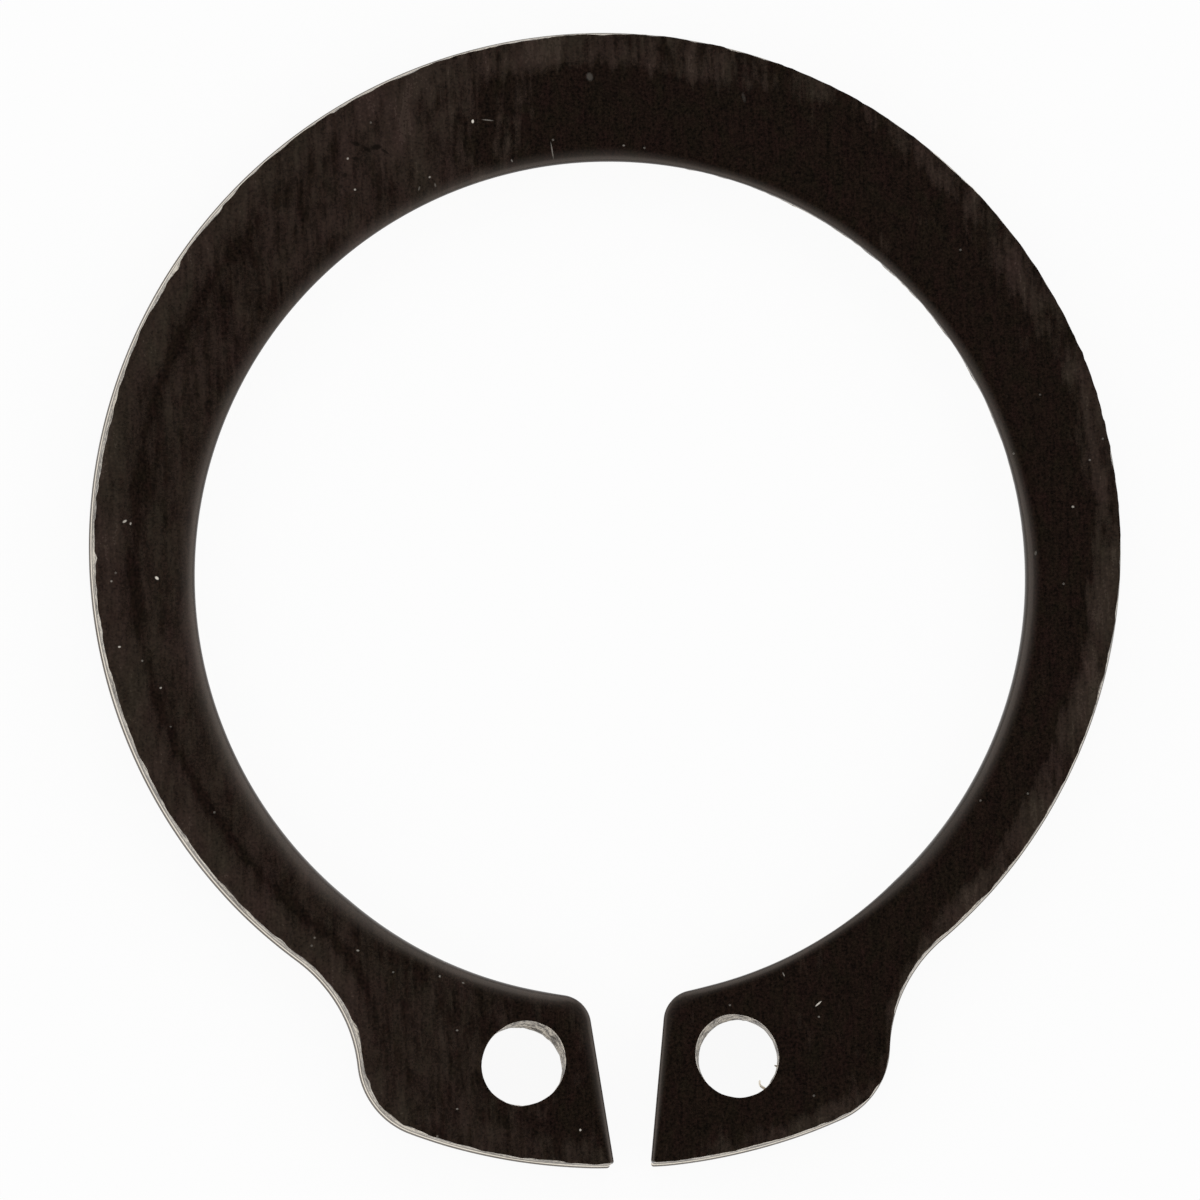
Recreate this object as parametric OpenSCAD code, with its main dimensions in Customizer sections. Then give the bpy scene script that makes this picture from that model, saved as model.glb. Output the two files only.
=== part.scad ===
// External retaining ring for a shaft groove: one stamped piece of blackened spring steel.
// Frame: origin on the bore's axis in the lower face, +Z up, gap and lugs towards -Y.

/* [Ring] */
// Free bore diameter, before the ring is opened over its shaft
bore_d = 20.5; // [18:0.1:24]
// Thickness of the steel strip
strip_t = 1.2; // [1:0.05:1.75]
// Radial width of the bow opposite the gap, where it is widest
bow_w = 3.2; // [2.8:0.05:3.8]
// Radial width that the bow's outer circle would leave at the gap's middle line
bow_end_w = 1.7; // [1.2:0.05:2.2]
// How far the bore stands back between the lugs
relief_depth = 0.12; // [0.04:0.01:0.3]
// How much tighter the radius of the bore is where it stands back
relief_tighter = 0.35; // [0.2:0.01:0.6]

/* [Lugs] */
// Radial width of the lugs, from the bore to the rim
lug_w = 4.25; // [3.8:0.05:5]
// Angle from the gap's middle line to the centre of a lug's round corner
lug_angle = 21.6; // [19:0.1:26]
// Radius of a lug's round outer corner
lug_corner_r = 1.95; // [1.2:0.05:2.4]
// Radius of the hollow fillet between a lug and the bow
lug_fillet_r = 3.75; // [2:0.05:6]

/* [Gap] */
// Gap between the end faces at the bore
gap_bore_w = 1.96; // [1.2:0.02:2.6]
// Gap between the end faces at the lugs' rim
gap_rim_w = 0.88; // [0.6:0.02:1.6]
// Radius of the rounded corner between an end face and the bore
gap_corner_r = 0.75; // [0.4:0.05:1]

/* [Pliers holes] */
// Diameter of a pliers hole at its smooth land
hole_d = 1.9; // [1.5:0.05:2.2]
// Distance from the bore to a hole's centre
hole_inset = 1.9; // [1.7:0.05:2.2]
// Angle from the gap's middle line to a hole's centre
hole_angle = 12.45; // [11.5:0.05:14]
// Height of a hole's smooth land above its rolled lower edge
hole_land_h = 0.3; // [0.1:0.05:0.5]
// How far the torn wall above the land widens the hole
hole_tear = 0.1; // [0.03:0.01:0.16]

/* [Rolled edges] */
// Radius of the curve to which the punch draws an edge down
roll_r = 0.36; // [0.15:0.01:0.45]

/* [Hidden] */
$fn = 96;

bore_r = bore_d / 2;
lug_r = bore_r + lug_w;
gap_middle = -90;
grid = 0.001;

// The rolled curve's centre stands a little nearer to wall and face than its radius, so it crosses both
roll_share = 0.97;
roll_inset = roll_share * roll_r;
hole_tear_z = roll_inset + hole_land_h;
hole_tear_h = strip_t - hole_tear_z;

// The bow is tapered because its outer circle is struck from a raised centre
bow_r = bore_r + (bow_w + bow_end_w) / 2;
bow_centre = [0, (bow_w - bow_end_w) / 2];

// The relief is a tighter arc that stands relief_depth behind the bore at the gap's middle line
relief_r = bore_r - relief_tighter;
relief_centre = [0, -(relief_depth + relief_tighter)];

// One lug, the one at +X: its round corner and its fillet, which touches the bow and the corner
lug_corner = polar(lug_r - lug_corner_r, gap_middle + lug_angle);
lug_fillet = circles_meet(lug_corner, lug_corner_r + lug_fillet_r, bow_centre, bow_r + lug_fillet_r);
hole_centre = polar(bore_r + hole_inset, gap_middle + hole_angle);

// The end face at +X runs outwards from gap_start, and the steel lies on its normal's side
gap_start = [gap_bore_w / 2, -bore_r];
gap_end = [gap_rim_w / 2, -lug_r];
face_way = unit(gap_end - gap_start);
face_normal = [-face_way.y, face_way.x];
face_lean = asin(face_way.x);

// The gap's corner touches the end face, and its centre stands a little nearer to the relief, so it crosses that
gap_corner_share = 0.98;
gap_corner = line_meets_circle(gap_start + gap_corner_r * face_normal, face_way,
    relief_centre, relief_r + gap_corner_share * gap_corner_r);
gap_corner_foot = gap_corner - gap_corner_r * face_normal;

function polar(r, a) = r * [cos(a), sin(a)];
function unit(v) = v / norm(v);
function mirrored(p) = [-p.x, p.y];

// Point at r1 from p and r2 from q, on the right of the way from p to q
function circles_meet(p, r1, q, r2) =
    let (d = norm(q - p), u = (q - p) / d, along = (r1 ^ 2 - r2 ^ 2 + d ^ 2) / (2 * d))
    p + along * u + sqrt(r1 ^ 2 - along ^ 2) * [u.y, -u.x];

// Last point of the line from p along the unit vector u that is r from c
function line_meets_circle(p, u, c, r) =
    let (v = p - c, along = v * u)
    p + (sqrt(along ^ 2 - v * v + r ^ 2) - along) * u;

// Moves to c in a round step and a small rest, which keeps arcs that touch true to the last digit
module place(c) {
    step = [for (v = c) round(v / grid) * grid];
    translate(step) translate(c - step) children();
}

module both_lugs() {
    children();
    mirror([1, 0, 0]) children();
}

// Runs a flat shape through the strip and past both of its faces
module through() {
    translate([0, 0, -strip_t]) linear_extrude(3 * strip_t) children();
}

// Steel between the bow and a lug's corner, hollowed by the fillet
module lug_shoulder() {
    difference() {
        linear_extrude(strip_t) polygon([bow_centre, lug_corner, lug_fillet]);
        place(lug_fillet) through() circle(lug_fillet_r);
    }
}

module blank() {
    place(bow_centre) cylinder(strip_t, r = bow_r);
    rotate_extrude(angle = 2 * lug_angle, start = gap_middle - lug_angle) square([lug_r, strip_t]);
    both_lugs() {
        place(lug_corner) cylinder(strip_t, r = lug_corner_r);
        lug_shoulder();
    }
}

// What the rounding takes off the corner between an end face and the bore
module gap_corner_cut() {
    to_face = -2 * gap_corner_r * face_normal;
    to_bore = 2 * gap_corner_r * unit(relief_centre - gap_corner);
    difference() {
        place(gap_corner) through() polygon([[0, 0], to_face, to_face + to_bore, to_bore]);
        place(gap_corner) through() circle(gap_corner_r);
    }
}

// Room between the end faces, from the ring's axis to past the rim
module gap_cut() {
    past_rim = gap_end - [0, lug_w];
    through() polygon([[0, 0], gap_start, gap_end, past_rim, mirrored(past_rim), mirrored(gap_end),
        mirrored(gap_start)]);
    both_lugs() gap_corner_cut();
}

// Section of the room over a rolled edge: its wall is x = 0, its face y = 0 and its steel at x > 0, y < 0
module roll_section() {
    difference() {
        square(2 * roll_inset, center = true);
        translate([roll_inset, -roll_inset]) circle(roll_r);
    }
}

module rolled_rim(r) {
    rotate_extrude() translate([r, 0]) roll_section();
}

// Pliers hole punched from below: rolled lower edge, smooth land, torn wall that widens to the top
module hole_cut() {
    r = hole_d / 2;
    rotate_extrude()
        polygon([[0, -strip_t], [r, -strip_t], [r, hole_tear_z], [r + 2 * hole_tear, strip_t + hole_tear_h],
            [0, strip_t + hole_tear_h]]);
    mirror([0, 0, 1]) rolled_rim(r);
}

// What the piercing punch draws down along the upper edges of the bore and the end faces.
// The bore's roll runs out between the lugs, where the bore stands back.
module inner_rolls() {
    rolled_rim(bore_r);
    both_lugs() place(gap_corner_foot) rotate([90, 0, face_lean])
        linear_extrude(2 * lug_w, center = true) roll_section();
}

module retaining_ring() {
    color([0.1, 0.09, 0.085])
        difference() {
            blank();
            through() circle(bore_r);
            place(relief_centre) through() circle(relief_r);
            gap_cut();
            both_lugs() place(hole_centre) hole_cut();
            translate([0, 0, strip_t]) inner_rolls();
        }
}

retaining_ring();
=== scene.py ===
import bpy
import numpy as np
from mathutils import Matrix, Vector


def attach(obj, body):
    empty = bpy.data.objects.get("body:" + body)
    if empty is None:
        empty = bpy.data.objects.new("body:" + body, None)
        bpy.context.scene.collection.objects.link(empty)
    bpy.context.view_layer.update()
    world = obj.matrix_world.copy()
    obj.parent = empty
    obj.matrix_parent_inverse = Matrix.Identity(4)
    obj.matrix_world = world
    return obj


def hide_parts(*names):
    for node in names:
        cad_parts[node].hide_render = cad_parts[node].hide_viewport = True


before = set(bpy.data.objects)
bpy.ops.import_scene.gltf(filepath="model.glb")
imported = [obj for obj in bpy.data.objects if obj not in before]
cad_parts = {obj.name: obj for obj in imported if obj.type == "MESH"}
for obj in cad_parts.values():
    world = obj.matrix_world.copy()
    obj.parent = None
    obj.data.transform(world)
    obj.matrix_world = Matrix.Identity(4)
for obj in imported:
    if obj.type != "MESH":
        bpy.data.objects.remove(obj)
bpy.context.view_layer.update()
mm = 0.001

ring = {  # millimetres; angles in degrees from the gap's middle line, towards +X first
    "boreR": 10.25, "stripT": 1.2, "bowW": 3.2, "bowEndW": 1.7, "reliefDepth": 0.12, "reliefTighter": 0.35,
    "lugW": 4.25, "lugAngle": 21.6, "lugCornerR": 1.95, "lugFilletR": 3.75, "rimCornerR": 0.12,
    "gapBoreW": 1.96, "gapRimW": 0.88, "gapCornerR": 0.75,
    # the blanked outline sits a little off the pierced bore; each is eased in from the gap
    "blankOff": (-0.0585, -0.002), "blankFrom": (2.0, 12.0), "growFrom": (0.0, 4.0),
    "blankGrow": [(18.0, 0.025), (26.0, 0.0), (32.0, 0.0), (50.0, 0.03)],
    "boreOff": (-0.008, 0.01), "boreGrow": 0.02, "boreFrom": (5.0, 12.0),
    "aroundSteps": 900, "cornerSteps": 7, "faceSteps": 16, "rimSteps": 4,
}


def fromGap(deg):  # unit vectors (sin, -cos) at angles from the gap's middle line
    a = np.radians(deg)
    return np.stack([np.sin(a), -np.cos(a)], -1)


def gapAngle(p):  # the angle from the gap's middle line whose tangent is x over -y
    return np.degrees(np.arctan2(p[..., 0], -p[..., 1]))


def folded(deg):  # angles all round, laid on the right half: 0 at the gap, 180 opposite it
    return 180 - np.abs(deg - 180)


def unit(v):  # a vector over its length
    return v / np.linalg.norm(v, axis=-1, keepdims=True)


def ease(x, low, high):  # 0 below low, 1 above high, 3t^2 - 2t^3 between
    t = np.clip((x - low) / (high - low), 0, 1)
    return t * t * (3 - 2 * t)


def circlesMeet(p, r1, q, r2):  # point at r1 from p and r2 from q, on the right of the way from p to q
    d = np.linalg.norm(q - p)
    u = (q - p) / d
    along = (r1 ** 2 - r2 ** 2 + d ** 2) / (2 * d)
    return p + along * u + np.sqrt(r1 ** 2 - along ** 2) * np.array([u[1], -u[0]])


def lineMeetsCircle(p, u, c, r):  # last point of the line from p along u that is r from c
    along = (p - c) @ u
    return p + (np.sqrt(along ** 2 - (p - c) @ (p - c) + r ** 2) - along) * u


def edgeOnRays(deg, arcs):  # a ray from the axis meets its arc at b +- sqrt(b^2 - c^2 + r^2), b = ray . centre
    half = folded(deg)
    which = np.minimum(np.searchsorted([a[0] for a in arcs], half), len(arcs) - 1)
    c = np.array([a[1] for a in arcs])[which]
    r, root, way = (np.array([a[k] for a in arcs], float)[which] for k in (2, 3, 4))
    ray = fromGap(half)
    b = (ray * c).sum(1)
    p = ray * (b + root * np.sqrt(np.maximum(b * b - (c * c).sum(1) + r * r, 0)))[:, None]
    n = (p - c) / r[:, None] * way[:, None]
    side = np.where(deg <= 180, 1.0, -1.0)[:, None] * [1, 0] + [0, 1]      # x turned over on the left half
    return p * side, n * side


def waver(s, total, pitch, seed):  # smooth noise along a closed path: random heights eased from one to the next
    n = max(3, int(total / pitch))
    heights = np.random.default_rng(seed).normal(size=n)
    t = s / total * n
    i = np.floor(t).astype(int)
    f = ease(t - i, 0, 1)
    return heights[i % n] * (1 - f) + heights[(i + 1) % n] * f


def wavers(s, total, sizes, shift=0):  # the sum of share x waver over sizes of pitch, share and seed
    return sum(share * waver(s, total, pitch, seed + shift) for pitch, share, seed in sizes)


def ringOutline(g):  # arcs that touch each other: bow, fillet, lug corner, rim; gap corner, relief, bore
    origin = np.zeros(2)
    lugR = g["boreR"] + g["lugW"]
    bowR = g["boreR"] + (g["bowW"] + g["bowEndW"]) / 2
    bowC = np.array([0, (g["bowW"] - g["bowEndW"]) / 2])
    reliefR = g["boreR"] - g["reliefTighter"]
    reliefC = np.array([0, -g["reliefDepth"] - g["reliefTighter"]])
    cornerR, filletR, gapR, rimR = g["lugCornerR"], g["lugFilletR"], g["gapCornerR"], g["rimCornerR"]
    corner = fromGap(g["lugAngle"]) * (lugR - cornerR)
    fillet = circlesMeet(corner, cornerR + filletR, bowC, bowR + filletR)
    start, end = np.array([g["gapBoreW"] / 2, -g["boreR"]]), np.array([g["gapRimW"] / 2, -lugR])
    faceWay = unit(end - start)
    faceN = np.array([-faceWay[1], faceWay[0]])                             # from the gap into the steel
    gapC = lineMeetsCircle(start + gapR * faceN, faceWay, reliefC, reliefR + gapR)
    rimC = lineMeetsCircle(start + rimR * faceN, faceWay, origin, lugR - rimR)
    toRelief = unit(reliefC - gapC)
    innerMid, rimMid = unit(toRelief - faceN), unit(unit(rimC) - faceN)     # middle of each rounded corner
    cornerFillet = corner + cornerR * unit(fillet - corner)
    filletBow = fillet + filletR * unit(bowC - fillet)
    reliefCos = (g["boreR"] ** 2 + reliefC[1] ** 2 - reliefR ** 2) / (2 * g["boreR"] * -reliefC[1])
    reliefEnd = np.degrees(np.arccos(np.clip(reliefCos, -1, 1)))
    reliefStart = gapAngle(gapC + gapR * toRelief)
    pastTop = 181                                                           # degrees, beyond the last ray
    # each arc: last angle, centre, radius, which root of the ray, which way the wall faces
    outerArcs = [(gapAngle(rimC), rimC, rimR, 1, 1), (g["lugAngle"], origin, lugR, 1, 1),
                 (gapAngle(cornerFillet), corner, cornerR, 1, 1),
                 (gapAngle(filletBow), fillet, filletR, -1, -1), (pastTop, bowC, bowR, 1, 1)]
    innerArcs = [(reliefStart, gapC, gapR, -1, 1), (reliefEnd, reliefC, reliefR, 1, -1),
                 (pastTop, origin, g["boreR"], 1, -1)]

    def spread(first, knee, steps):  # angles all round: a few steps on the rounded corner, then even ones
        return np.concatenate([np.linspace(first, knee, steps, endpoint=False),
                               np.linspace(knee, 360 - knee, g["aroundSteps"] + 1 - 2 * steps),
                               np.linspace(360 - knee, 360 - first, steps + 1)[1:]])

    outerDeg = spread(gapAngle(rimC + rimR * rimMid), gapAngle(rimC), g["rimSteps"])
    innerDeg = spread(gapAngle(gapC + gapR * innerMid), reliefStart, g["cornerSteps"] * 2)
    outerP, outerN = edgeOnRays(outerDeg, outerArcs)
    innerP, innerN = edgeOnRays(innerDeg, innerArcs)
    outerHalf, innerHalf = folded(outerDeg), folded(innerDeg)
    grow = ease(outerHalf, *g["growFrom"]) * np.interp(outerHalf, *np.array(g["blankGrow"]).T)
    outerP = outerP + ease(outerHalf, *g["blankFrom"])[:, None] * g["blankOff"] + grow[:, None] * outerN
    innerP = innerP + ease(innerHalf, *g["boreFrom"])[:, None] * (innerN * g["boreGrow"] + g["boreOff"])

    def turn(a, b, steps):  # unit vectors from a to b, along the straight line between their tips
        t = np.linspace(0, 1, steps + 1)[:, None]
        return unit(a * (1 - t) + b * t)

    first, last = turn(innerMid, -faceN, g["cornerSteps"]), turn(-faceN, rimMid, g["rimSteps"])
    t = np.linspace(0, 1, g["faceSteps"] + 1)[1:-1, None]
    foot, top = gapC - gapR * faceN, rimC - rimR * faceN
    endP = np.concatenate([gapC + gapR * first, foot * (1 - t) + top * t, rimC + rimR * last])
    endN = np.concatenate([first, np.repeat(-faceN[None], len(t), 0), last])
    return outerP, outerN, innerP, innerN, endP, endN


outerP, outerN, innerP, innerN, endP, endN = ringOutline(ring)
flip = np.array([-1, 1])
around, across = ring["aroundSteps"], len(endP) - 1
# one closed path with the steel on its left: rim and bow, left end face, bore, right end face
loopP = np.concatenate([outerP[:-1], endP[:0:-1] * flip, innerP[:0:-1], endP[:-1]])
loopN = np.concatenate([outerN[:-1], endN[:0:-1] * flip, innerN[:0:-1], endN[:-1]])
count = len(loopP)
step = np.linalg.norm(np.roll(loopP, -1, 0) - loopP, axis=1)
length = step.sum()
along = np.concatenate([[0], np.cumsum(step)[:-1]])
print("outline:", count, "points,", round(length, 2), "mm")

wallLook = {  # millimetres, heights from the rolled edge: roll, smooth land, torn wall
    "rollH": 0.25, "tearZ": 0.55, "landBack": 0.05, "tearBack": 0.047, "landSteps": 3, "tearSteps": 10,
    "rollAt": (0, 0.2, 0.4, 0.58, 0.74, 0.87, 0.95, 0.99, 1), "cubicShare": 0.6, "tightFrom": 0.87,
    "landBend": 0.5, "tearBend": 0.8, "smoothing": 7,
    "outerRoll": 0.24, "endRollLeft": 0.48, "endRollRight": 0.36, "endRollRim": 0.05, "endRollH": 0.13,
    "cornerRoll": 0.6, "cornerAt": (1.1, -10.5), "cornerReach": 0.55,
    "boreRolls": [  # degrees from the gap, width and height of the roll
        (0, 0.3, 0.19), (20, 0.3, 0.19), (32, 0.31, 0.16), (46, 0.52, 0.35), (92, 0.5, 0.34), (104, 0.4, 0.25),
        (117, 0.38, 0.23), (128, 0.34, 0.17), (146, 0.36, 0.2), (165, 0.36, 0.18), (177, 0.54, 0.25),
        (189, 0.55, 0.24), (204, 0.5, 0.21), (228, 0.48, 0.21), (248, 0.48, 0.25), (268, 0.64, 0.27),
        (290, 0.7, 0.31), (316, 0.7, 0.41), (332, 0.43, 0.37), (344, 0.48, 0.3), (360, 0.45, 0.25),
    ],
    # size of each roughness, its wavers (pitch, share, seed), and the power by which it grows up the torn wall
    "streak": 0.008, "streaks": [(2.2, 1.0, 100), (0.25, 0.6, 200)],
    "rag": 0.009, "rags": [(0.4, 1.0, 7), (0.15, 0.7, 8), (2.5, 1.0, 9)], "ragRise": 4,
    "burr": 0.008, "burrMost": 2, "burrRise": 6, "burrBelow": 0.3,
    # chips along a stretch of the path: most depth and length, with the shares drawn, and how steep they start
    "chips": 22, "chipSpan": (46.0, 80.0), "chipDeep": 0.05, "chipDeeps": (0.2, 1), "chipLong": 0.4,
    "chipLongs": (0.3, 1), "chipSteep": 2.5, "chipSeed": 12,
    "nicks": [  # place, depth, reach
        (-8.49, -8.74, 0.05, 0.12), (1.47, -14.27, 0.06, 0.1), (6.67, -10.03, 0.05, 0.15),
        (11.69, -3.81, 0.015, 0.12), (12.45, 2.55, 0.05, 0.12), (12.5, 0.0, 0.05, 0.1),
    ],
}


def wallProfile(w):  # shares of roll width, land lean and tear, then of the three heights, from the rolled edge up
    x = np.array(w["rollAt"])                                               # a cubic with a tight corner at its end
    corner = np.maximum(x - w["tightFrom"], 0) / (1 - w["tightFrom"])
    tight = 1 - np.sqrt(np.clip(1 - corner ** 2, 0, 1))
    rise = w["cubicShare"] * x ** 3 + (1 - w["cubicShare"]) * tight
    t = np.linspace(0, 1, w["landSteps"] + 1)[1:]
    u = np.linspace(0, 1, w["tearSteps"] + 1)[1:]
    roll = np.concatenate([1 - x, 0 * t, 0 * u])
    lean = np.concatenate([0 * x, t ** w["landBend"], 0 * u + 1])
    tear = np.concatenate([0 * x, 0 * t, u ** w["tearBend"]])
    rises = np.stack([np.concatenate([rise, 0 * t + 1, 0 * u + 1]), np.concatenate([0 * x, t, 0 * u + 1]),
                      np.concatenate([0 * x, 0 * t, u])])
    return roll, lean, tear, rises, len(x) - 1


def wallHeights(w, rollH):  # rise x height, summed over roll, land and torn wall, where the roll is rollH high
    rollH = np.asarray(rollH)[..., None]
    return rollH * rises[0] + (w["tearZ"] - rollH) * rises[1] + (ring["stripT"] - w["tearZ"]) * rises[2]


def smoothed(v, width):  # running mean with soft ends along the closed path
    bell = np.hanning(width + 2)[1:-1]
    half = width // 2
    return np.convolve(np.concatenate([v[-half:], v, v[:half]]), bell / bell.sum(), "valid")


def dimple(p, x, y, reach):  # exp of -(distance from x, y over reach) squared
    return np.exp(-((p[:, 0] - x) ** 2 + (p[:, 1] - y) ** 2) / reach ** 2)


def innerRolls(w, onRim, onEnd):  # width and height of the roll: bore, end faces that narrow to the rim, gap corners
    deg, wide, deep = np.array(w["boreRolls"]).T
    here = gapAngle(loopP) % 360
    share = np.clip((loopP[:, 1] + ring["boreR"]) / ring["lugW"] + 1, 0, 1)  # 0 at the rim, 1 at the bore
    rollEnd = np.where(loopP[:, 0] < 0, w["endRollLeft"], w["endRollRight"])
    rollEnd = w["endRollRim"] + (rollEnd - w["endRollRim"]) * np.sqrt(share)
    width = np.where(onEnd, rollEnd, np.where(onRim, w["endRollRim"], np.interp(here, deg, wide)))
    bothSides = np.stack([np.abs(loopP[:, 0]), loopP[:, 1]], 1)
    near = dimple(bothSides, *w["cornerAt"], w["cornerReach"])
    rollH = np.where(onEnd, w["endRollH"], np.where(onRim, w["rollH"], np.interp(here, deg, deep)))
    return (smoothed(width + (w["cornerRoll"] - width) * near, w["smoothing"]),
            smoothed(rollH + (w["endRollH"] - rollH) * near, w["smoothing"]))


def chipped(w):  # the deepest of the chips at each point: depth x exp(-t^2), t steeper before the chip's middle
    dice = np.random.default_rng(w["chipSeed"])
    at, deep, long = (dice.uniform(*span, w["chips"]) for span in (w["chipSpan"], w["chipDeeps"], w["chipLongs"]))
    away = (along[:, None] - at) / (w["chipLong"] * long)
    away = np.where(away < 0, away * w["chipSteep"], away)
    return (w["chipDeep"] * deep * np.exp(-away ** 2)).max(1)


index = np.arange(count)
pierced = (index > around).astype(float)                                    # 1 on bore and end faces, else 0
pierced[[0, around]] = 0.5
pierced = smoothed(pierced, wallLook["smoothing"])
onEnd = (index > around) & (index < around + across) | (index > 2 * around + across)
innerRoll, innerRollH = innerRolls(wallLook, index <= around, onEnd)
roll, lean, tear, rises, rollCells = wallProfile(wallLook)
high = wallHeights(wallLook, wallLook["rollH"])
levels = len(high)
streaks = np.stack([wavers(along, length, wallLook["streaks"], k) for k in range(levels)], 1)
rag = wavers(along, length, wallLook["rags"])
chips = chipped(wallLook)
nick = sum(deep * dimple(loopP, x, y, reach) for x, y, deep, reach in wallLook["nicks"])


def wallInset(w, rollWidth):  # roll share x width + leaning land + torn fall-back, with rags that grow upwards
    inset = roll * rollWidth[:, None] + lean * w["landBack"] + tear * (w["tearBack"] + w["streak"] * streaks)
    return inset + tear ** w["ragRise"] * (w["rag"] * rag + nick + chips)[:, None]


outerInset = wallInset(wallLook, np.full(count, wallLook["outerRoll"]))
innerInset = wallInset(wallLook, innerRoll)[:, ::-1]
burr = wallLook["burr"] * np.clip(rag, 0, wallLook["burrMost"])[:, None] * tear ** wallLook["burrRise"]
mix = pierced[:, None]
inset = outerInset * (1 - mix) + innerInset * mix
innerZ = (ring["stripT"] - wallHeights(wallLook, innerRollH) - burr * wallLook["burrBelow"])[:, ::-1]
wallZ = (high + burr) * (1 - mix) + innerZ * mix
ownHigh = high * (1 - mix) + high[::-1] * mix                               # height from the wall's own rolled edge
wall = np.dstack([loopP[:, None] - loopN[:, None] * inset[:, :, None], wallZ])
wallId = np.arange(count * levels).reshape(count, levels)
verts = [wall.reshape(-1, 3)]
flows = [np.dstack([np.repeat(along[:, None], levels, 1), ownHigh, np.zeros_like(wallZ)]).reshape(-1, 3)]
quads, paints = [], []
blackSteel, bareSteel, freshSteel = 0, 1, 2


def grid(ids, paint, turned=False):  # four corners of every cell of a grid of vertex numbers
    q = np.stack([ids[:-1, :-1], ids[1:, :-1], ids[1:, 1:], ids[:-1, 1:]], -1)
    q = q[:, :, ::-1] if turned else q
    quads.append(q.reshape(-1, 4))
    paints.append(np.broadcast_to(paint, q.shape[:2]).reshape(-1))


cell = np.arange(levels - 1)
isBare = np.where(mix < 0.5, cell >= rollCells, cell < levels - 1 - rollCells)
grid(np.concatenate([wallId, wallId[:1]]), np.where(isBare, bareSteel, blackSteel))
print("sheared walls:", wallId.size, "points")

faceLook = {  # millimetres; a shallow valley on the left half, and how the cells are laid
    "valley": 0.005, "valleyAt": 1.05, "valleyW": 0.2, "valleySide": 6.0, "valleyMiddle": 0.4,
    "endBend": 12, "relaxed": 80, "holeRings": 5, "holeRoom": 1.2, "fanBend": 1.4,
}


def addVerts(p, flow=None):  # adds points and gives their vertex numbers back, in the same grid
    base = sum(len(v) for v in verts)
    verts.append(p.reshape(-1, 3))
    flows.append(np.zeros((len(verts[-1]), 3)) if flow is None else flow.reshape(-1, 3))
    return base + np.arange(len(verts[-1])).reshape(p.shape[:-1])


def flatFace(look, level, up):  # inner edge to outer edge straight across, bent to the end faces at both ends
    rim = wallId[np.arange(around + 1), level]
    inner = wallId[2 * around + across - np.arange(around + 1), level]
    left = wallId[around + across - np.arange(across + 1), level]
    right = wallId[(2 * around + across + np.arange(across + 1)) % count, level]
    flat = verts[0]
    span = np.concatenate([[0], np.cumsum(np.linalg.norm(np.diff(endP, axis=0), axis=1))])
    v = (span / span[-1])[None, :, None]
    u = np.linspace(0, 1, around + 1)[:, None, None]
    p = flat[inner][:, None] * (1 - v) + flat[rim][:, None] * v
    for side, ids, at in ((0, right, (1 - u) ** look["endBend"]), (-1, left, u ** look["endBend"])):
        p = p + at * (flat[ids] - p[side])[None]
    for _ in range(look["relaxed"]):                                        # each point to its neighbours' middle
        p[1:-1, 1:-1] = (p[:-2, 1:-1] + p[2:, 1:-1] + p[1:-1, :-2] + p[1:-1, 2:]) / 4
    p[:, :, 2] = 0
    if up:
        out = np.linalg.norm(p[:, :, :2] - flat[rim][:, None, :2], axis=2)
        shown = np.clip(-p[:, :, 0] / look["valleySide"] + look["valleyMiddle"], 0, 1)
        hollow = look["valley"] * shown * np.exp(-((out - look["valleyAt"]) / look["valleyW"]) ** 2)
        p[:, :, 2] = ring["stripT"] - hollow
    ids = np.zeros(p.shape[:2], int)
    ids[1:-1, 1:-1] = addVerts(p[1:-1, 1:-1])
    ids[:, -1], ids[:, 0], ids[-1], ids[0] = rim, inner, left, right
    return ids, p


def aroundBlock(ids):  # vertex numbers on the border of a block of the grid, once round
    return np.concatenate([ids[:-1, 0], ids[-1, :-1], ids[:0:-1, -1], ids[0, :0:-1]])


def holeRoom(p, h):  # first and last grid lines, both ways, that leave room for a hole
    near = np.linalg.norm(p[:, :, :2] - h["mouth"], axis=2) < faceLook["holeRoom"]
    i, j = np.where(near.any(1))[0], np.where(near.any(0))[0]
    return i[0] - 1, i[-1] + 1, j[0] - 1, j[-1] + 1


def holedFace(ids, rooms, up):  # the face's cells without the rooms; the border of each room is given back
    keep = np.ones((around, across), bool)
    blocks = []
    for i0, i1, j0, j1 in rooms:
        keep[i0:i1, j0:j1] = False
        blocks.append(aroundBlock(ids[i0:i1 + 1, j0:j1 + 1]))
    q = np.stack([ids[:-1, :-1], ids[:-1, 1:], ids[1:, 1:], ids[1:, :-1]], -1)[keep]
    quads.append(q if up else q[:, ::-1])
    paints.append(np.full(len(q), blackSteel))
    return blocks


holes = [  # mouth in the top face, land below it: radius, oval and its turn; how far the land is off, which way
    {"mouth": (-2.587, -11.884), "mouthR": 1.04, "mouthOval": (0.033, 45), "landR": 0.99, "landOval": (0.04, 155),
     "landOff": (0.07, 240), "roll": 0.2, "grain": 0.018, "ragged": 0.005, "seed": 41},
    {"mouth": (2.662, -11.883), "mouthR": 1.026, "mouthOval": (0.028, 135), "landR": 0.975, "landOval": (0.0, 0),
     "landOff": (0.1, 318), "roll": 0.2, "grain": 0.018, "ragged": 0.005, "seed": 42},
]
holeLook = {  # radians between the heights of each roughness; how the streaks are stretched, raised and set apart
    "grainPitch": 0.12, "landPitch": 0.09, "mouthPitch": 0.25, "flowLong": 4, "flowLift": 0.25, "flowApart": 7,
    "grainSeeds": 50, "landSeed": 10, "grainFade": 3,
}
topIds, topPoints = flatFace(faceLook, levels - 1, True)
lowIds, _ = flatFace(faceLook, 0, False)
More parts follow.
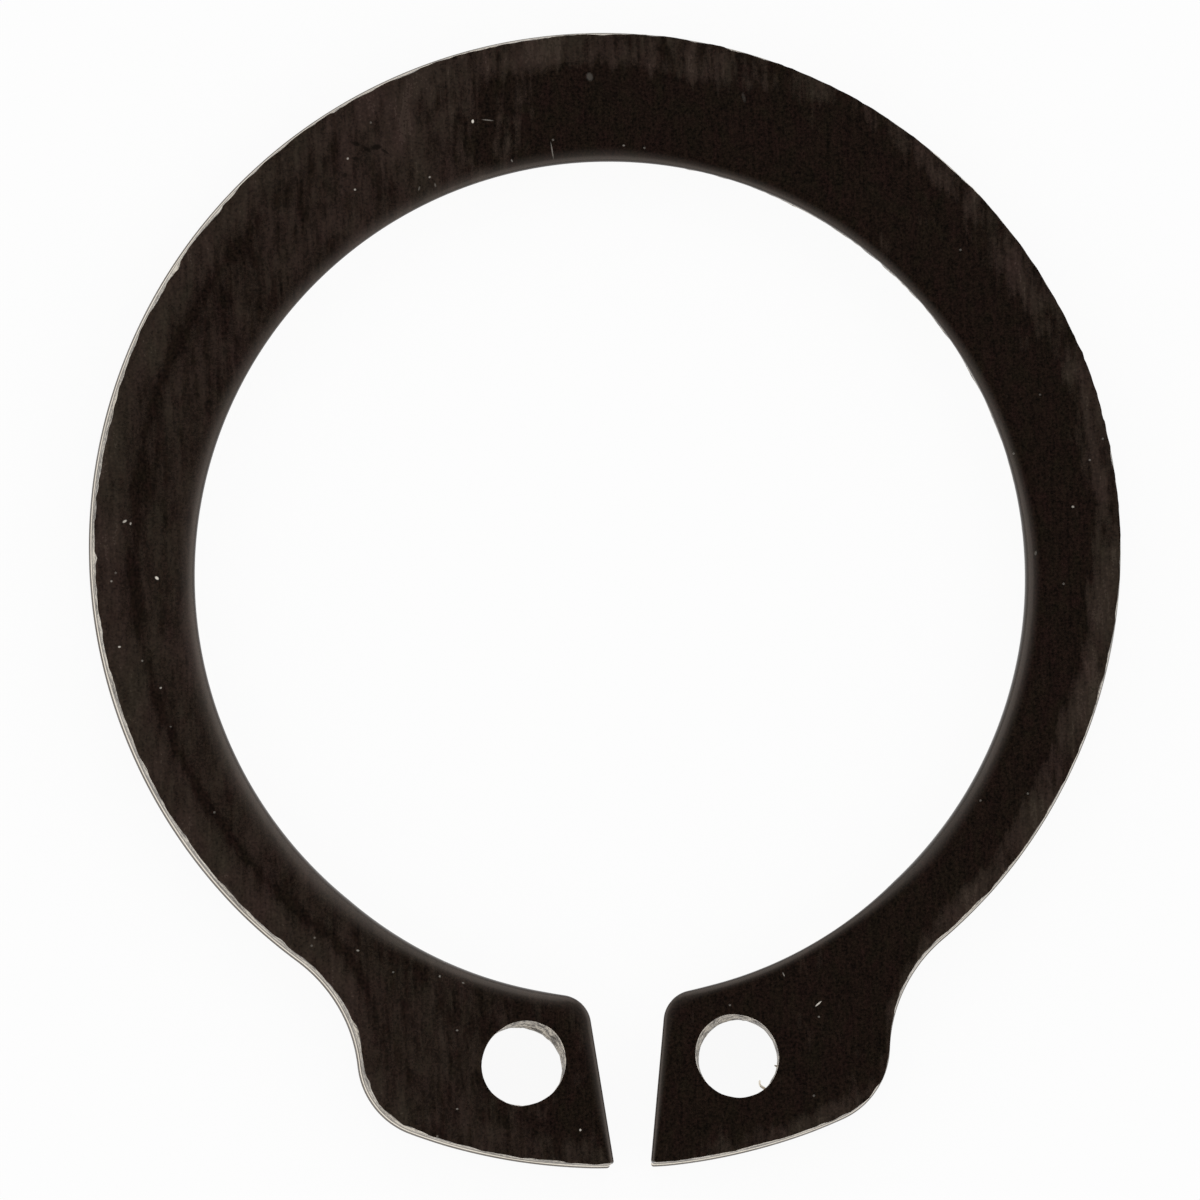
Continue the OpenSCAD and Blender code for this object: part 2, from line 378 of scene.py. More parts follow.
rooms = [holeRoom(topPoints, h) for h in holes]
topBlocks, lowBlocks = holedFace(topIds, rooms, True), holedFace(lowIds, rooms, False)
print("faces:", sum(len(q) for q in quads), "cells")


def oval(r, shape, angle):  # r + size x cos 2(angle - turn)
    return r + shape[0] * np.cos(2 * (angle - np.radians(shape[1])))


def hole(h, look, topBlock, lowBlock):  # radius(angle, height): land, rolled out below, torn out to the mouth above
    points = np.concatenate(verts)
    centre = np.array(h["mouth"])
    angle = np.arctan2(*(points[topBlock, :2] - centre).T[::-1])
    s = np.unwrap(angle)
    s = (s - s[0]) * np.sign(s[-1] - s[0])
    way = np.stack([np.cos(angle), np.sin(angle)], 1)

    def rough(pitch, seed):  # noise once round the hole
        return waver(s, 2 * np.pi, look[pitch], seed)

    grain = np.stack([rough("grainPitch", h["seed"] * look["grainSeeds"] + k) for k in range(levels)], 1)
    off, offWay = h["landOff"]
    land = oval(h["landR"], h["landOval"], angle) + off * np.cos(angle - np.radians(offWay))
    land = land + h["ragged"] * rough("landPitch", h["seed"] + look["landSeed"])
    mouth = oval(h["mouthR"], h["mouthOval"], angle) + h["ragged"] * rough("mouthPitch", h["seed"])
    radius = land[:, None] + roll * h["roll"] + tear * (mouth - land)[:, None]
    radius = radius + h["grain"] * grain * tear * (1 - tear ** look["grainFade"])
    z = np.broadcast_to(high, radius.shape)
    flow = np.dstack([np.repeat(look["flowLong"] * s[:, None], levels, 1), z + look["flowLift"],
                      np.full_like(z, look["flowApart"])])
    ids = addVerts(np.dstack([centre + way[:, None] * radius[:, :, None], z]), flow)
    grid(np.concatenate([ids, ids[:1]]), np.where(cell >= rollCells, bareSteel, blackSteel)[None], turned=True)
    for edge, block, level, up in ((ids[:, -1], topBlock, ring["stripT"], True), (ids[:, 0], lowBlock, 0, False)):
        points = np.concatenate(verts)
        t = np.linspace(0, 1, faceLook["holeRings"] + 1)[None, 1:-1, None] ** faceLook["fanBend"]
        between = points[edge][:, None] * (1 - t) + points[block][:, None] * t
        between[:, :, 2] = level
        fan = np.concatenate([edge[:, None], addVerts(between), block[:, None]], 1)
        grid(np.concatenate([fan, fan[:1]]), np.array([[blackSteel]]), turned=up)


for h, topBlock, lowBlock in zip(holes, topBlocks, lowBlocks):
    hole(h, holeLook, topBlock, lowBlock)

curls = [  # bits of burr left in the right hole: where they stand on its wall, how far they reach in, how they hook
    {"angle": -51.0, "root": 0.06, "reach": 0.27, "hook": 0.07, "lowZ": 1.0, "highZ": 1.14,
     "wide": 0.034, "tip": 0.6},
    {"angle": 158.0, "root": 0.02, "reach": 0.13, "hook": -0.05, "lowZ": 0.5, "highZ": 0.6,
     "wide": 0.03, "tip": 0.5},
    {"angle": -15.0, "root": 0.02, "reach": 0.08, "hook": 0.02, "lowZ": 0.8, "highZ": 0.9,
     "wide": 0.025, "tip": 0.4},
]
curlLook = {"steps": 14, "hookTurn": 3.6, "taper": 1.5, "flat": 0.5, "paintAt": 0.45}  # painted as the smooth land


def burrCurl(c, h, look):  # a small oval carried along a hook that leaves the hole's wall, thinner towards its tip
    t = np.linspace(0, 1, look["steps"])
    out = np.array([np.cos(np.radians(c["angle"])), np.sin(np.radians(c["angle"]))])
    side = np.array([-out[1], out[0]])
    path = (h["mouth"] + out * (h["mouthR"] + c["root"] - c["reach"] * t)[:, None]
            - side * (c["hook"] * np.sin(look["hookTurn"] * t) * t)[:, None])
    way = unit(np.gradient(path, axis=0))
    acrossWay = np.stack([-way[:, 1], way[:, 0]], 1)[:, None]
    caps = np.array([[0, 1, 2, 3], [0, 3, 4, 7], [4, 5, 6, 7]])              # the oval's eight corners
    u = np.linspace(0, 2 * np.pi, caps.max() + 2)[:-1]
    size = (1 - (1 - c["tip"]) * t ** look["taper"])[:, None] * c["wide"]
    p = path[:, None] + acrossWay * (size * np.cos(u))[:, :, None]
    z = c["lowZ"] + (c["highZ"] - c["lowZ"]) * t[:, None] + size * np.sin(u) * look["flat"]
    ids = addVerts(np.dstack([p, z]), np.dstack([p[:, :, 0], np.full_like(z, look["paintAt"]), z]))
    grid(np.concatenate([ids, ids[:, :1]], 1), np.array([[freshSteel]]), turned=True)
    quads.extend([ids[-1][caps], ids[0][caps[:, ::-1]]])
    paints.append(np.full(2 * len(caps), freshSteel))


for c in curls:
    burrCurl(c, holes[1], curlLook)
print("holes:", len(holes), "with", len(curls), "curls of burr")

hazeAndReflectionLook = {  # where the blackening is dry and hazy, plus a painted dark reflection along the valley; levels are shares of full haze, below zero where it is clear
    "inside": [  # degrees from the gap, level, how patchy; the level is higher over the left half, so that half is lighter than the right
        (0, -0.38, 0.8), (185, -0.45, 1.0), (197, 0.33, 0.8), (204, 0.33, 0.6), (213, 0.2, 0.5), (228, 0.2, 0.4),
        (244, 0.28, 0.3), (262, 0.29, 0.25), (276, 0.35, 0.25), (300, 0.29, 0.25), (326, 0.26, 0.25),
        (338, 0.2, 0.35), (352, -0.1, 0.6), (360, -0.38, 0.8),
    ],
    "strip": [  # along the outer edge: degrees from the gap, level, width
        (0, 0.05, 0.4), (24, 0.1, 0.4), (32, 0.5, 0.35), (44, 0.65, 0.6), (58, 0.68, 0.75), (68, 0.74, 0.8),
        (80, 0.7, 0.8), (95, 0.68, 0.75), (104, 0.06, 0.7), (112, 0.2, 0.7), (128, 0.27, 0.75), (140, 0.37, 0.7),
        (152, 0.37, 0.5), (164, 0.3, 1.05), (172, 0.36, 1.1), (180, 0.45, 0.9), (190, 0.5, 0.85), (215, 0.48, 0.7),
        (226, 0.58, 0.7), (262, 0.58, 0.72), (326, 0.56, 0.65), (336, 0.38, 0.9), (360, 0.2, 0.5),
    ],
    "stripFade": 0.26,
    "stains": [  # degrees from the gap, share across the strip, reach both ways, level added
        (22, 0.46, 4, 0.14, 0.65), (18, 0.93, 6, 0.1, 0.4), (123, 0.72, 6, 0.12, 0.35), (140, 0.45, 5, 0.1, 0.3),
        (153, 0.65, 5, 0.15, 0.45), (203, 0.6, 9, 0.35, 0.2), (342.3, 0.45, 1.4, 0.12, 0.35),
    ],
    # a painted dark reflection: a dark band that runs inside the strip on the left, over the shallow valley
    "darkReflection": 0.4, "darkReflectionAt": [(230, 1.05), (290, 1.03), (320, 0.92), (332, 0.85)], "darkReflectionW": 0.13,
    "darkReflectionFrom": (205.0, 246.0), "darkReflectionTo": (325.0, 334.0),
}


def hazeAndDarkReflectionAt(p, look):  # level inside eased to the outer strip's level, plus soft ovals, less the painted dark reflection along the valley; patchiness
    deg = gapAngle(p) % 360
    r = np.linalg.norm(p[:, :2], axis=1)
    out = np.interp(deg, gapAngle(outerP) % 360, np.linalg.norm(outerP, axis=1)) - r
    share = (r - ring["boreR"]) / (out + r - ring["boreR"])
    stripAt, level, wide = np.array(look["strip"]).T
    strip = 1 - ease(out - np.interp(deg, stripAt, wide), -look["stripFade"], look["stripFade"])
    insideAt, inside, patchy = np.array(look["inside"]).T
    haze = np.interp(deg, insideAt, inside) * (1 - strip) + np.interp(deg, stripAt, level) * strip
    haze = haze + sum(added * np.exp(-((deg - at) / reach) ** 2 - ((share - mid) / width) ** 2)
                      for at, mid, reach, width, added in look["stains"])
    # painted dark reflection: a dark band taken off the haze along the shallow valley
    shown = ease(deg, *look["darkReflectionFrom"]) * (1 - ease(deg, *look["darkReflectionTo"]))
    darkReflectionAt = np.interp(deg, *np.array(look["darkReflectionAt"]).T)
    haze = haze - look["darkReflection"] * shown * np.exp(-((out - darkReflectionAt) / look["darkReflectionW"]) ** 2)
    return haze, np.interp(deg, insideAt, patchy)


sharpFrom = 40                                                              # degrees between faces that stay crisp
points, cells, paint = np.concatenate(verts), np.concatenate(quads), np.concatenate(paints)
mesh = bpy.data.meshes.new("retainingRing")
mesh.from_pydata((points * mm).tolist(), [], cells.tolist())
mesh.polygons.foreach_set("material_index", paint.astype(np.int32))
mesh.polygons.foreach_set("use_smooth", np.ones(len(cells), bool))
# the haze attribute also carries the painted dark reflection along the valley
for name, values in zip(("haze", "patchy"), hazeAndDarkReflectionAt(points, hazeAndReflectionLook)):
    mesh.attributes.new(name, "FLOAT", "POINT").data.foreach_set("value", values.astype(np.float32))
flow = mesh.attributes.new("flow", "FLOAT_VECTOR", "POINT")
flow.data.foreach_set("vector", np.concatenate(flows).astype(np.float32).ravel())
mesh.set_sharp_from_angle(angle=np.radians(sharpFrom))
mesh.update()
ringPiece = bpy.data.objects.new("retainingRing", mesh)
bpy.context.scene.collection.objects.link(ringPiece)
print("ring mesh:", len(points), "points,", len(cells), "cells")


def nodeMaker(tree):  # adds a node, sets its inputs and links them
    def add(kind, inputs=None, **props):
        n = tree.nodes.new(kind)
        for k, v in props.items():
            setattr(n, k, v)
        for k, v in (inputs or {}).items():
            if isinstance(v, bpy.types.NodeSocket):
                tree.links.new(v, n.inputs[k])
            else:
                n.inputs[k].default_value = v
        return n
    return add


def maths(add, operation, *values):  # one sum, product or the like of plain values
    return add("ShaderNodeMath", dict(enumerate(values)), operation=operation).outputs[0]


def vectors(add, operation, *values):  # the same of vectors
    return add("ShaderNodeVectorMath", dict(enumerate(values)), operation=operation).outputs[0]


def mapped(add, value, span=(0, 1), to=(0, 1)):  # the value's span laid on another one, held at its ends
    return add("ShaderNodeMapRange", {"Value": value, "From Min": span[0], "From Max": span[1],
                                      "To Min": to[0], "To Max": to[1]}).outputs[0]


def mixed(add, share, first, second, kind="RGBA"):  # first x (1 - share) + second x share
    return add("ShaderNodeMix", {"Factor": share, "A": first, "B": second}, data_type=kind).outputs["Result"]


def shaderGroup(name, ins, outs):  # an empty group with named sockets
    tree = bpy.data.node_groups.new(name, "ShaderNodeTree")
    for n, kind, value in ins:
        sock = tree.interface.new_socket(n, in_out="INPUT", socket_type="NodeSocket" + kind)
        if value is not None:
            sock.default_value = value
    for n in outs:
        tree.interface.new_socket(n, in_out="OUTPUT", socket_type="NodeSocketFloat")
    add = nodeMaker(tree)
    return tree, add, add("NodeGroupInput").outputs, add("NodeGroupOutput").inputs


streakNoise = {"Scale": 1.0, "Detail": 3.0, "Roughness": 0.6}


def drawnStreaks():  # fine lines along one way: noise stretched along it, in two sizes
    tree, add, given, out = shaderGroup("drawnStreaks", [
        ("Place", "Vector", None), ("Fine", "Vector", None), ("Broad", "Vector", None)], ["Fine", "Broad"])
    for size in ("Fine", "Broad"):
        scaled = vectors(add, "MULTIPLY", given["Place"], given[size])
        noise = add("ShaderNodeTexNoise", {"Vector": scaled, **streakNoise})
        tree.links.new(noise.outputs["Fac"], out[size])
    return tree


def dustSpecks():  # small dots: a Voronoi cell's dot shows where the cell's random number is low
    tree, add, given, out = shaderGroup("dustSpecks", [
        ("Place", "Vector", None), ("Scale", "Float", 1000.0), ("Size", "Float", 0.1), ("Share", "Float", 0.05),
    ], ["Mask"])
    dots = add("ShaderNodeTexVoronoi", {"Vector": given["Place"], "Scale": given["Scale"]}, voronoi_dimensions="2D")
    small = maths(add, "LESS_THAN", dots.outputs["Distance"], given["Size"])
    dice = add("ShaderNodeSeparateColor", {0: dots.outputs["Color"]}).outputs[0]
    rare = maths(add, "LESS_THAN", dice, given["Share"])
    tree.links.new(maths(add, "MULTIPLY", small, rare), out["Mask"])
    return tree


markFade = (1.1, 0.6)                                                       # shares of the half sizes, none to full


def handMark():  # a small oval over Under: full where (place - centre), turned and over the half sizes, is short
    tree, add, given, out = shaderGroup("handMark", [
        ("Under", "Float", 0.0), ("Place", "Vector", None), ("Centre", "Vector", None), ("Turn", "Float", 0.0),
        ("Half", "Vector", None), ("Level", "Float", 1.0)], ["Mask"])
    moved = vectors(add, "SUBTRACT", given["Place"], given["Centre"])
    turned = add("ShaderNodeVectorRotate", {"Vector": moved, "Angle": given["Turn"]}, rotation_type="Z_AXIS")
    shares = vectors(add, "DIVIDE", turned.outputs[0], given["Half"])
    far = add("ShaderNodeVectorMath", {0: shares}, operation="LENGTH").outputs["Value"]
    level = maths(add, "MULTIPLY", mapped(add, far, markFade), given["Level"])
    tree.links.new(maths(add, "MAXIMUM", level, given["Under"]), out["Mask"])
    return tree


streakGroup, speckGroup, markGroup = drawnStreaks(), dustSpecks(), handMark()


def newMaterial(name):  # an empty material with its output
    mat = bpy.data.materials.new(name)
    mat.use_nodes = True
    mat.node_tree.nodes.clear()
    add = nodeMaker(mat.node_tree)
    return mat, add, add("ShaderNodeOutputMaterial")


blackLook = {  # dark tints where it is clear and hazy ones where it is dry, each with its tones from dark to light
    "greenDark": (0.0079, 0.0053, 0.0029, 1), "redDark": (0.0101, 0.0045, 0.0034, 1), "darkTone": (0.2, 1.8),
    "greyHaze": (0.0365, 0.0278, 0.0195, 1), "brownHaze": (0.0415, 0.0252, 0.0205, 1), "hazeTone": (0.68, 1.32),
    "hueFrom": (0.35, 0.65), "tint": (1.0, 0.87, 0.77, 1),
    # noises along the drawn lines, each with how much it raises the haze, and the levels between which haze shows
    "fineLines": (12000.0, 900.0, 900.0), "broadLines": (6000.0, 900.0, 900.0), "lineGain": 0.8, "patchLines": 1.1,
    "drawnOut": (1.0, 0.5, 1.0), "mottleGain": 1.1, "blotchGain": 2.4, "hazeFrom": (0.95, 1.95),
    "mottle": {"Scale": 2400.0, "Detail": 7.0, "Roughness": 0.68, "Distortion": 0.6},
    "blotch": {"Scale": 1000.0, "Detail": 4.0, "Roughness": 0.6, "Distortion": 0.4},
    "grain": {"Scale": 17000.0, "Detail": 2.0}, "lineShare": 0.3, "grainFrom": (0.35, 0.65),
    "roughDark": 0.23, "roughHaze": 0.28, "grainRough": 0.05, "bump": {"Strength": 0.05, "Distance": 0.02 * mm},
    "dust": {"Scale": 900.0, "Size": 0.025, "Share": 0.08}, "dustLevel": 0.12, "markDeep": 0.2,
    "speck": (0.75, 0.7, 0.62, 1),
    "marks": [  # specks and scratches on the upper face: place, half sizes in mm, turn in degrees, level
        (-11.92, 1.75, 0.061, 0.032, 28, 0.60), (-11.78, 1.69, 0.039, 0.025, 78, 0.45),
        (-11.18, 0.33, 0.057, 0.037, -42, 1.00), (-12.30, 0.29, 0.030, 0.027, -2, 0.32),
        (-12.16, -1.33, 0.037, 0.025, -2, 0.70), (-11.61, -1.69, 0.030, 0.027, -2, 0.20),
        (-11.18, -2.37, 0.032, 0.025, 18, 0.50), (-10.97, -3.33, 0.030, 0.025, -2, 0.10),
        (-6.57, -8.98, 0.039, 0.025, -12, 0.35), (-7.62, -8.63, 0.030, 0.027, -2, 0.17),
        (-5.72, -9.54, 0.030, 0.027, -2, 0.15), (-4.58, -9.68, 0.032, 0.025, 88, 0.28),
        (-4.01, -9.86, 0.037, 0.022, -22, 0.20), (-4.20, -11.02, 0.032, 0.025, -2, 0.22),
        (-4.27, -12.95, 0.032, 0.025, -2, 0.22), (-4.78, -13.60, 0.030, 0.027, -2, 0.16),
        (-1.26, -13.57, 0.032, 0.027, 88, 0.75), (-3.01, 11.32, 0.049, 0.034, 88, 1.00),
        (0.69, 10.61, 0.032, 0.025, -2, 0.24), (-2.08, 10.32, 0.042, 0.022, -62, 0.20),
        (11.44, 1.35, 0.037, 0.030, -2, 0.45), (11.90, 2.49, 0.032, 0.027, -2, 0.20),
        (10.73, 4.14, 0.030, 0.027, -2, 0.10), (4.71, -10.99, 0.032, 0.027, -2, 0.20),
        (2.53, -10.63, 0.030, 0.027, -2, 0.16), (-1.08, 10.54, 0.221, 0.017, -82, 0.22),
        (-2.64, 11.34, 0.148, 0.016, -7, 0.22), (4.71, -10.67, 0.105, 0.020, 39, 0.85),
        (3.88, -9.92, 0.061, 0.016, -65, 0.30), (-0.09, 12.33, 0.111, 0.086, -72, 0.07),
        (3.69, 11.70, 0.135, 0.043, -77, 0.03), (10.48, 0.24, 0.061, 0.031, 78, 0.10),
        (-6.12, 10.50, 0.032, 0.027, 58, 0.50), (-5.97, 9.73, 0.030, 0.027, -2, 0.50),
        (-4.12, 9.98, 0.030, 0.025, 28, 0.40), (-4.39, 9.71, 0.059, 0.022, 73, 0.12),
        (-3.99, 9.78, 0.054, 0.022, -77, 0.12),
    ],
    "smudge": (0.004, 0.0024, 0.0015, 1),
    "smudges": [  # dark ones, given the same way
        (-5.90, 10.86, 0.123, 0.059, -20, 0.80), (-5.63, 10.71, 0.123, 0.054, -32, 0.85),
        (-5.41, 10.76, 0.160, 0.074, 6, 0.90), (-5.20, 10.65, 0.123, 0.039, -37, 0.80),
        (-5.92, 10.49, 0.123, 0.049, -10, 0.75), (-6.21, 10.09, 0.079, 0.059, 18, 0.60),
        (-6.32, 9.81, 0.084, 0.049, 13, 0.55), (-5.70, 10.11, 0.084, 0.039, -2, 0.45),
    ],
}


def blackenedSteel(look):  # dark and hazy tints mixed by the haze, less its painted dark reflection, then smudges, dust and marks over them
    mat, add, out = newMaterial("blackenedSteel")
    place = add("ShaderNodeTexCoord").outputs["Object"]
    lines = add("ShaderNodeGroup", {"Place": place, "Fine": look["fineLines"], "Broad": look["broadLines"]},
                node_tree=streakGroup).outputs
    drawn = vectors(add, "MULTIPLY", place, look["drawnOut"])
    mottle = add("ShaderNodeTexNoise", {"Vector": drawn, **look["mottle"]}).outputs
    blotch = add("ShaderNodeTexNoise", {"Vector": drawn, **look["blotch"]}).outputs
    grain = add("ShaderNodeTexNoise", {"Vector": place, **look["grain"]}).outputs
    # haze level, lowered along the valley by a painted dark reflection
    hazeAndReflectionLevel = add("ShaderNodeAttribute", attribute_name="haze").outputs["Fac"]
    patchy = add("ShaderNodeAttribute", attribute_name="patchy").outputs["Fac"]
    # hazy where the haze level, with its painted dark reflection, raised by patches, mottle and lines, passes a level
    middle = (look["blotchGain"] + look["patchLines"]) / 2
    patches = maths(add, "MULTIPLY_ADD", blotch["Fac"], look["blotchGain"], -middle)
    patches = maths(add, "MULTIPLY_ADD", lines["Broad"], look["patchLines"], patches)
    raised = maths(add, "MULTIPLY_ADD", patches, patchy, hazeAndReflectionLevel)
    raised = maths(add, "MULTIPLY_ADD", mottle["Fac"], look["mottleGain"], raised)
    raised = maths(add, "MULTIPLY_ADD", lines["Broad"], look["lineGain"], raised)
    hazy = mapped(add, raised, look["hazeFrom"])
    grained = mixed(add, look["lineShare"], grain["Fac"], lines["Fine"], "FLOAT")

    def tinted(noise, first, second, tones):  # two tints by a noise's colour, made lighter and darker by the grain
        hue = add("ShaderNodeSeparateColor", {0: noise["Color"]}).outputs[1]
        tint = mixed(add, mapped(add, hue, look["hueFrom"]), look[first], look[second])
        tone = mapped(add, grained, look["grainFrom"], look[tones])
        return add("ShaderNodeVectorMath", {0: tint, "Scale": tone}, operation="SCALE").outputs[0]

    def marked(under, marks):  # one mark after another laid over a mask
        for x, y, long, wide, turn, level in marks:
            under = add("ShaderNodeGroup", {
                "Under": under, "Place": place, "Centre": (x * mm, y * mm, ring["stripT"] * mm),
                "Turn": -np.radians(turn), "Half": (long * mm, wide * mm, look["markDeep"] * mm), "Level": level},
                node_tree=markGroup).outputs["Mask"]
        return under

    dark = tinted(mottle, "greenDark", "redDark", "darkTone")
    haze = tinted(blotch, "greyHaze", "brownHaze", "hazeTone")
    dust = add("ShaderNodeGroup", {"Place": place, **look["dust"]}, node_tree=speckGroup).outputs["Mask"]
    spots = marked(maths(add, "MULTIPLY", dust, look["dustLevel"]), look["marks"])
    colour = mixed(add, marked(0.0, look["smudges"]), mixed(add, hazy, dark, haze), look["smudge"])
    colour = mixed(add, spots, colour, look["speck"])
    smoothest = [look[k] - look["grainRough"] / 2 for k in ("roughDark", "roughHaze")]
    rough = maths(add, "MULTIPLY_ADD", grained, look["grainRough"], mapped(add, hazy, to=smoothest))
    bump = add("ShaderNodeBump", {"Height": lines["Fine"], **look["bump"]}).outputs[0]
    paint = add("ShaderNodeBsdfPrincipled", {"Base Color": colour, "Roughness": rough, "Specular Tint": look["tint"],
                                             "Normal": bump})
    mat.node_tree.links.new(paint.outputs[0], out.inputs[0])
    return mat


steelLook = {  # heights in mm from the wall's own rolled edge; tones are shares from dull to bright
    "bright": (1.0, 0.91, 0.765, 1), "dull": (0.055, 0.038, 0.024, 1), "smooth": 0.3, "rough": 0.55, "metal": 0.4,
    "fineLines": (0.9, 4.5, 1.0), "broadLines": (0.5, 2.2, 1.0), "broadFrom": (0.3, 0.7),
    "grit": {"Scale": 12000.0, "Detail": 4.0, "Roughness": 0.75}, "bump": {"Strength": 0.7, "Distance": 0.02 * mm},
    "foot": (0.36, 0.45), "footTone": 0.03, "landTone": (0.93, 1.0),
    # the tear's tone: its dark end is partly the steel's grain, partly painted shade in the tear's pits
    "torn": (0.5, 0.62), "tornFrom": (0.9, 1.12), "tornTop": 0.62,
    "scarAt": 0.65, "scarHalf": 0.15, "scarTone": 0.05, "scarWander": 0.3,  # a dark line where the tear starts
}
freshLook = dict(steelLook, landTone=(0.95, 1.0), scarTone=1.0, metal=0.0)


def shearedSteel(name, look):  # dull to bright by tone of land or tear x dark foot x dark scar; the tear's dark grains are partly painted shade of its pits
    mat, add, out = newMaterial(name)
    flowAt = add("ShaderNodeAttribute", attribute_name="flow").outputs["Vector"]
    place = add("ShaderNodeTexCoord").outputs["Object"]
    high = add("ShaderNodeSeparateXYZ", {0: flowAt}).outputs["Y"]
    lines = add("ShaderNodeGroup", {"Place": flowAt, "Fine": look["fineLines"], "Broad": look["broadLines"]},
                node_tree=streakGroup).outputs
    grit = add("ShaderNodeTexNoise", {"Vector": place, **look["grit"]}).outputs["Fac"]
    # the torn wall's dark grains and streaks: partly the steel's own grain, partly painted shade in the tear's pits
    both = maths(add, "ADD", lines["Fine"], grit)
    tornToneAndPitShade = mapped(add, both, look["tornFrom"], (0, look["tornTop"]))
    landTone = mapped(add, lines["Broad"], look["broadFrom"], look["landTone"])
    tone = mixed(add, mapped(add, high, look["torn"]), landTone, tornToneAndPitShade, "FLOAT")
    foot = mapped(add, high, look["foot"], (look["footTone"], 1))
    wander = maths(add, "MULTIPLY_ADD", lines["Broad"], look["scarWander"], high)
    off = maths(add, "ABSOLUTE", maths(add, "SUBTRACT", wander, look["scarAt"] + look["scarWander"] / 2))
    scar = mapped(add, off, (0, look["scarHalf"]), (look["scarTone"], 1))
    shade = maths(add, "MULTIPLY", maths(add, "MULTIPLY", tone, foot), scar)
    colour = mixed(add, shade, look["dull"], look["bright"])
    rough = mapped(add, lines["Broad"], look["broadFrom"], (look["smooth"], look["rough"]))
    bump = add("ShaderNodeBump", {"Height": both, **look["bump"]}).outputs[0]
    steel = add("ShaderNodeBsdfPrincipled", {"Base Color": colour, "Roughness": rough, "Metallic": look["metal"],
                                             "Normal": bump})
    mat.node_tree.links.new(steel.outputs[0], out.inputs[0])
    return mat


mesh.materials.append(blackenedSteel(blackLook))
mesh.materials.append(shearedSteel("shearedSteel", steelLook))
mesh.materials.append(shearedSteel("freshBurr", freshLook))
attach(ringPiece, "root")
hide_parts("retaining_ring")
print("finishes: blackened faces, bare sheared walls")

studio = {  # metres; the floor lies a little below the ring
    "floorHalf": 0.6, "floorDrop": 0.00001, "floorColour": (0.9, 0.9, 0.9, 1),
    "whiteShare": 0.93,                                         # of plain white, for rays to the eye or to metal
    "lights": [  # place, size, power
        ((-0.5, 0.1, 0.2), 0.5, 0.45), ((0.5, 0.1, 0.2), 0.5, 0.5), ((0.0, 0.5, 0.22), 0.5, 0.5),
        ((0.0, -0.5, 0.2), 0.5, 0.35),
    ],
    "zenith": 0.01, "horizon": 1.25, "rise": (11.0, 75.0),      # light overhead and low down, degrees between them
}


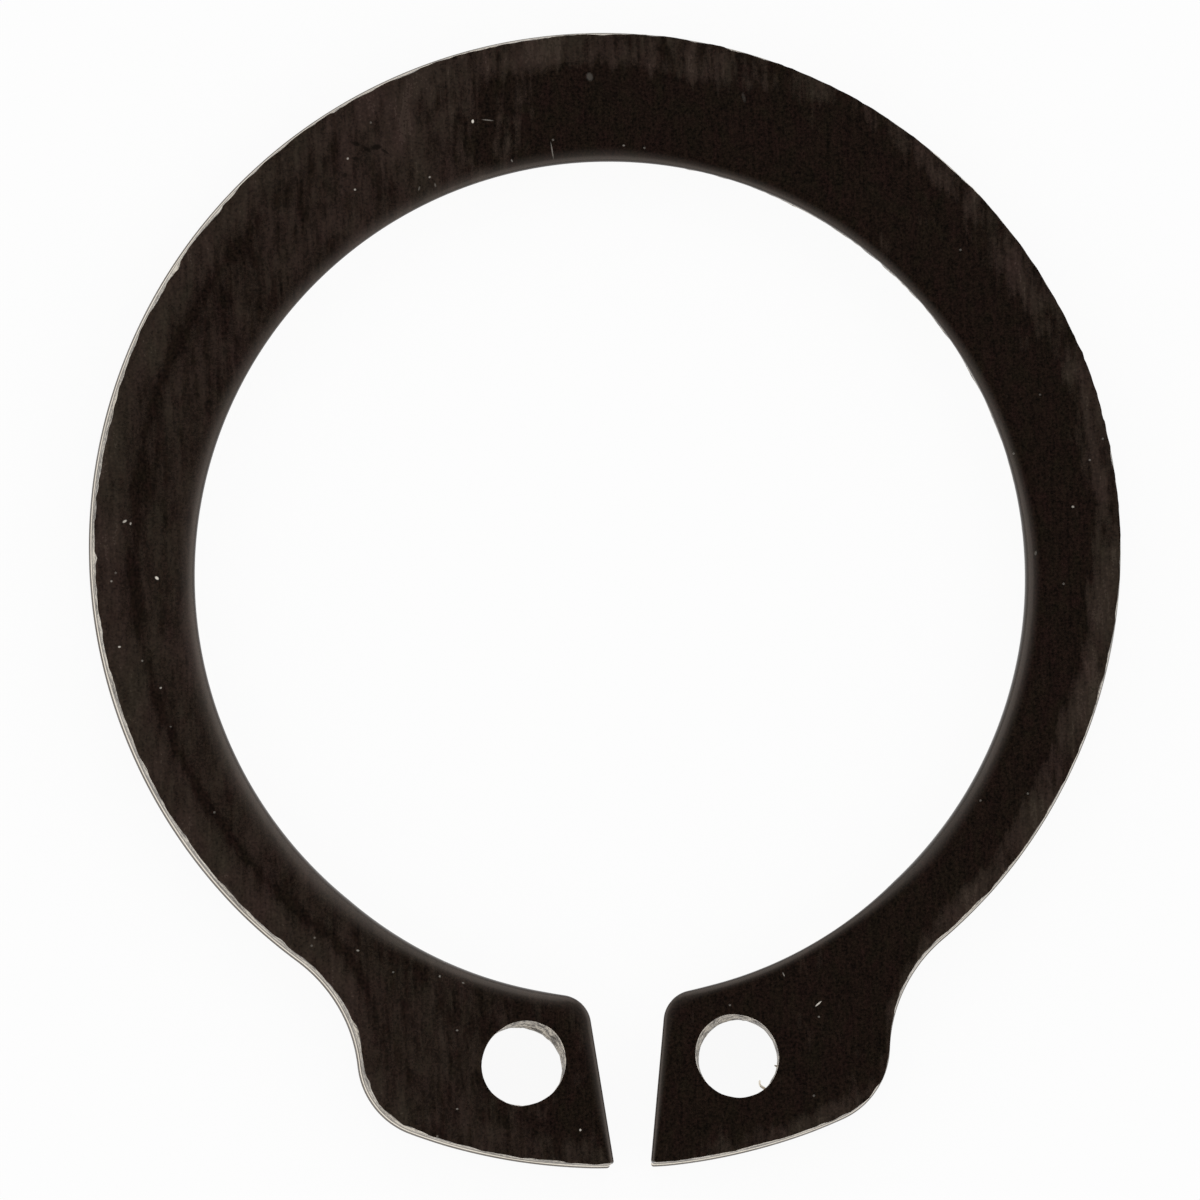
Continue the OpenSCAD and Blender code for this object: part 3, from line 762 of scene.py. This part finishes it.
def makeStudio(s):  # pale floor, softboxes turned to the ring, and a world that grows brighter towards the floor
    half, low = s["floorHalf"], -s["floorDrop"]
    corners = [(-half, -half, low), (half, -half, low), (half, half, low), (-half, half, low)]
    floorMesh = bpy.data.meshes.new("floor")
    floorMesh.from_pydata(corners, [], [(0, 1, 2, 3)])
    floor = bpy.data.objects.new("floor", floorMesh)
    bpy.context.scene.collection.objects.link(floor)
    mat, add, out = newMaterial("paleFloor")
    path = add("ShaderNodeLightPath").outputs
    seen = maths(add, "MAXIMUM", path["Is Camera Ray"], path["Is Glossy Ray"])
    seen = maths(add, "MAXIMUM", seen, path["Is Transmission Ray"])
    share = maths(add, "MULTIPLY", seen, s["whiteShare"])
    matte = add("ShaderNodeBsdfDiffuse", {"Color": s["floorColour"]}).outputs[0]
    white = add("ShaderNodeEmission", {"Color": (1, 1, 1, 1), "Strength": 1.0}).outputs[0]
    both = add("ShaderNodeMixShader", {0: share, 1: matte, 2: white}).outputs[0]
    # not there when seen from below
    below = add("ShaderNodeMixShader", {0: add("ShaderNodeNewGeometry").outputs["Backfacing"], 1: both,
                                        2: add("ShaderNodeBsdfTransparent").outputs[0]})
    mat.node_tree.links.new(below.outputs[0], out.inputs[0])
    floorMesh.materials.append(mat)
    for n, (place, size, power) in enumerate(s["lights"]):
        lamp = bpy.data.lights.new("softbox%d" % n, "AREA")
        lamp.size, lamp.energy = size, power
        box = bpy.data.objects.new("softbox%d" % n, lamp)
        box.location = place
        box.rotation_euler = (-Vector(place)).to_track_quat("-Z", "Y").to_euler()
        bpy.context.scene.collection.objects.link(box)
    world = bpy.data.worlds.new("studio")
    world.use_nodes = True
    tree = world.node_tree
    tree.nodes.clear()
    add = nodeMaker(tree)
    seen = add("ShaderNodeLightPath").outputs["Is Camera Ray"]
    up = add("ShaderNodeSeparateXYZ", {0: add("ShaderNodeTexCoord").outputs["Generated"]}).outputs["Z"]
    level = mapped(add, maths(add, "ARCCOSINE", up), np.radians(s["rise"]), (s["zenith"], s["horizon"]))
    back = add("ShaderNodeBackground", {"Color": (1, 1, 1, 1), "Strength": mixed(add, seen, level, 1.0, "FLOAT")})
    tree.links.new(back.outputs[0], add("ShaderNodeOutputWorld").inputs[0])
    bpy.context.scene.world = world


makeStudio(studio)

shot = {  # the photo's frame: its width in mm at the ring, where it is aimed, how the camera leans and rolls
    "frameW": 29.513, "aimRight": -0.2565, "aimUp": -0.5536, "aimZ": 0.8, "leanRight": -0.066, "leanUp": -0.055,
    "rollDeg": 2.083, "distance": 0.6, "sensor": 36.0, "clip": (0.01, 10),
}


def makeCamera(c):  # right and up are turned by the roll, and the camera stands back from its aim along the lean
    roll = np.radians(c["rollDeg"])
    right, up = Vector((np.cos(roll), -np.sin(roll), 0)), Vector((np.sin(roll), np.cos(roll), 0))
    aim = (right * c["aimRight"] + up * c["aimUp"] + Vector((0, 0, c["aimZ"]))) * mm
    back = (right * c["leanRight"] + up * c["leanUp"] + Vector((0, 0, 1))).normalized()
    cross = up.cross(back).normalized()
    turn = Matrix((cross, back.cross(cross), back)).transposed().to_4x4()
    data = bpy.data.cameras.new("camera")
    data.sensor_width = c["sensor"]
    data.lens = c["sensor"] * c["distance"] / (c["frameW"] * mm)
    data.clip_start, data.clip_end = c["clip"]
    camera = bpy.data.objects.new("camera", data)
    camera.matrix_world = Matrix.Translation(aim + back * c["distance"]) @ turn
    bpy.context.scene.collection.objects.link(camera)
    bpy.context.scene.camera = camera


makeCamera(shot)
bpy.context.scene.view_settings.view_transform = "Standard"
print("studio and camera ready")
